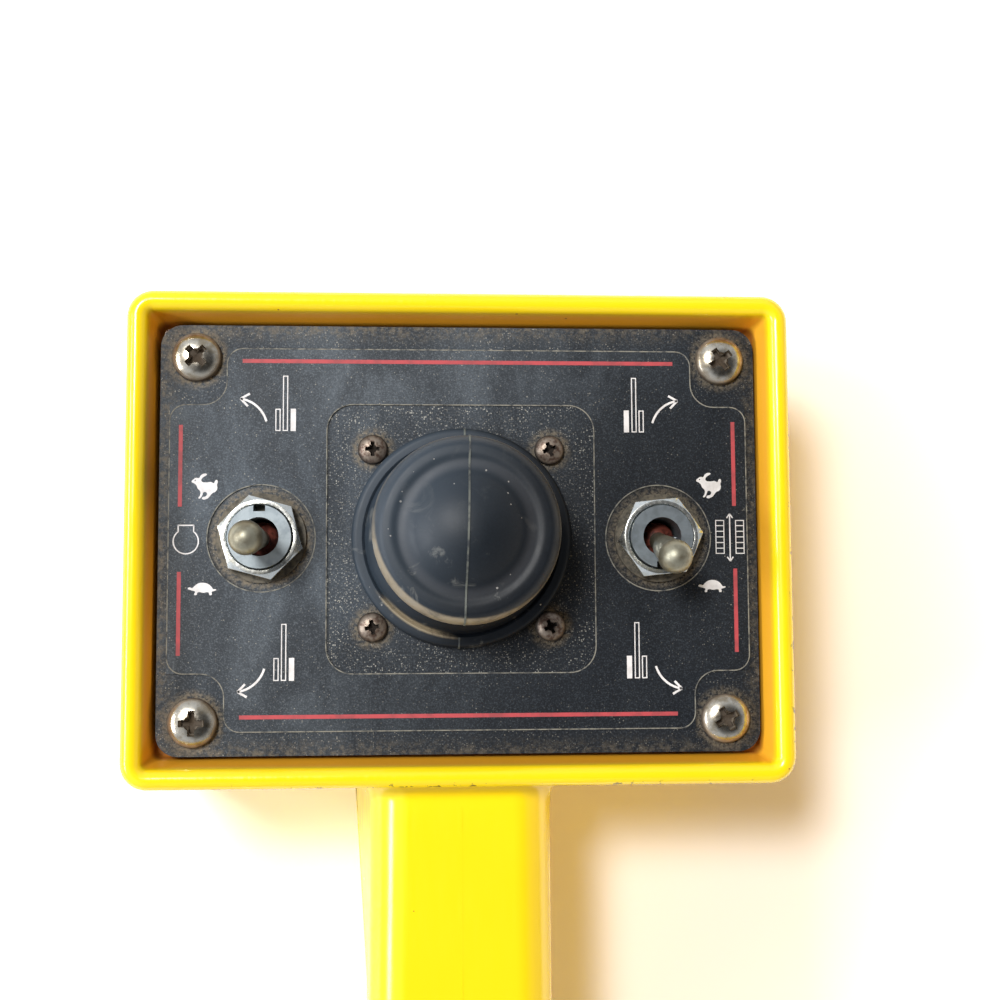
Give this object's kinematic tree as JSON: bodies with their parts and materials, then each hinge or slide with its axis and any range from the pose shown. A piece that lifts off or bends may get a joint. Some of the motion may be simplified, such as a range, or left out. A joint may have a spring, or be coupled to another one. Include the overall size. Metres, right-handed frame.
{
  "type": "pendant control station",
  "caption": "Hand-held pendant control station: box with raised bezel, black panel, booted two-axis joystick, toggle switch on each side, and a hollow handle ending in a cable gland.",
  "frame": {"origin": "on the flat back of the box, straight under the joystick's axis", "axes": "+X to the right seen from the front, +Y away from the handle, +Z out of the control panel towards the user"},
  "size_m": [0.126, 0.2296, 0.082],
  "materials": {
    "yellow_shell": "glossy moulded plastic",
    "black_gasket": "soft matte rubber",
    "stainless_screw": "plated steel with a cross recess",
    "brass_insert": "turned brass",
    "powder_coated_panel": "fine black powder coat, dusty",
    "printed_overlay": "textured black film with printed marks",
    "black_nylon": "moulded black nylon",
    "rusty_screw": "rusted zinc plate",
    "zinc_casting": "dull zinc casting",
    "steel_shaft": "ground steel",
    "magnet": "nickel-plated magnet",
    "circuit_board": "green solder mask",
    "ivory_nylon": "ivory nylon",
    "boot_rubber": "moulded blue-black rubber with dusty edges",
    "phenolic_case": "brown phenolic moulding",
    "bright_zinc": "bright zinc plate",
    "nickel_lever": "dull worn nickel plate",
    "silicone_seal": "red-brown silicone",
    "copper_contact": "copper alloy",
    "silver_terminal": "silver-plated terminals",
    "gland_nylon": "moulded dark grey nylon",
    "red_lead": "PVC insulated wire"
  },
  "bodies": {
    "root": {"housing": "yellow_shell", "back_cover": "yellow_shell", "cover_gasket": "black_gasket", "cover_screws": "stainless_screw", "panel_inserts": "brass_insert", "control_panel": "powder_coated_panel", "panel_gasket": "black_gasket", "panel_overlay": "printed_overlay", "panel_screws": "stainless_screw", "joystick_frame": "black_nylon", "joystick_bottom_cover": "black_nylon", "joystick_cover_screws": "stainless_screw", "joystick_screws": "rusty_screw", "side_tilt_spring": "steel_shaft", "sensor_board": "circuit_board", "sensor_chip": "black_nylon", "joystick_socket": "ivory_nylon", "boot_base": "boot_rubber", "boot_skirt": "boot_rubber", "left_toggle_bushing": "zinc_casting", "left_toggle_case": "phenolic_case", "left_toggle_nut": "bright_zinc", "left_toggle_tab_washer": "bright_zinc", "left_toggle_back_fixings": "bright_zinc", "left_toggle_pivot_pin": "steel_shaft", "left_toggle_terminals": "silver_terminal", "right_toggle_bushing": "zinc_casting", "right_toggle_case": "phenolic_case", "right_toggle_nut": "bright_zinc", "right_toggle_tab_washer": "bright_zinc", "right_toggle_back_fixings": "bright_zinc", "right_toggle_pivot_pin": "steel_shaft", "right_toggle_terminals": "silver_terminal", "gland_body": "gland_nylon", "gland_washer": "black_gasket", "gland_locknut": "gland_nylon", "gland_seal": "black_gasket", "gland_dome_nut": "gland_nylon", "terminal_strip": "ivory_nylon", "strip_screws": "stainless_screw", "inner_leads": "red_lead"},
    "cradle": {"gimbal_ring": "zinc_casting", "gimbal_pins": "steel_shaft", "fore_tilt_spring": "steel_shaft"},
    "stick": {"stick_shaft": "steel_shaft", "stick_pin": "steel_shaft", "magnet_holder": "black_nylon", "sensor_magnet": "magnet", "knob_core": "black_nylon", "knob_nut": "steel_shaft", "boot_cap": "boot_rubber"},
    "left_lever": {"left_toggle_lever": "nickel_lever", "left_toggle_seal": "silicone_seal", "left_toggle_plunger": "ivory_nylon"},
    "left_rocker": {"left_toggle_rocker": "copper_contact"},
    "right_lever": {"right_toggle_lever": "nickel_lever", "right_toggle_seal": "silicone_seal", "right_toggle_plunger": "ivory_nylon"},
    "right_rocker": {"right_toggle_rocker": "copper_contact"}
  },
  "joints": [
    {"name": "joystick_fore_aft", "type": "hinge", "parent": "root", "child": "cradle", "pos_m": [0, 0, 0.042], "axis": [1, 0, 0], "range_deg": [-18, 18], "stiffness_Nm_per_rad": 0.25, "deforming": ["side_tilt_spring", "boot_skirt"]},
    {"name": "joystick_side_to_side", "type": "hinge", "parent": "cradle", "child": "stick", "pos_m": [0, 0, 0.042], "axis": [0, 1, 0], "range_deg": [-18, 18], "stiffness_Nm_per_rad": 0.25, "deforming": ["fore_tilt_spring"]},
    {"name": "left_toggle_tilt", "type": "hinge", "parent": "root", "child": "left_lever", "pos_m": [-0.038, 0, 0.0495], "axis": [1, 0, 0], "range_deg": [-15.5, 9.5], "stiffness_Nm_per_rad": 0.02},
    {"name": "left_rocker_tilt", "type": "hinge", "parent": "root", "child": "left_rocker", "pos_m": [-0.038, 0, 0.0335], "axis": [1, 0, 0], "range_deg": [-5.7, 9.3]},
    {"name": "right_toggle_tilt", "type": "hinge", "parent": "root", "child": "right_lever", "pos_m": [0.038, 0, 0.0495], "axis": [-1, 0, 0], "range_deg": [0, 25]},
    {"name": "right_rocker_tilt", "type": "hinge", "parent": "root", "child": "right_rocker", "pos_m": [0.038, 0, 0.0335], "axis": [-1, 0, 0], "range_deg": [-15, 0]}
  ],
  "couplings": [
    {"joint": "left_rocker_tilt", "follows": "left_toggle_tilt", "ratio": -0.6},
    {"joint": "right_rocker_tilt", "follows": "right_toggle_tilt", "ratio": -0.6}
  ]
}
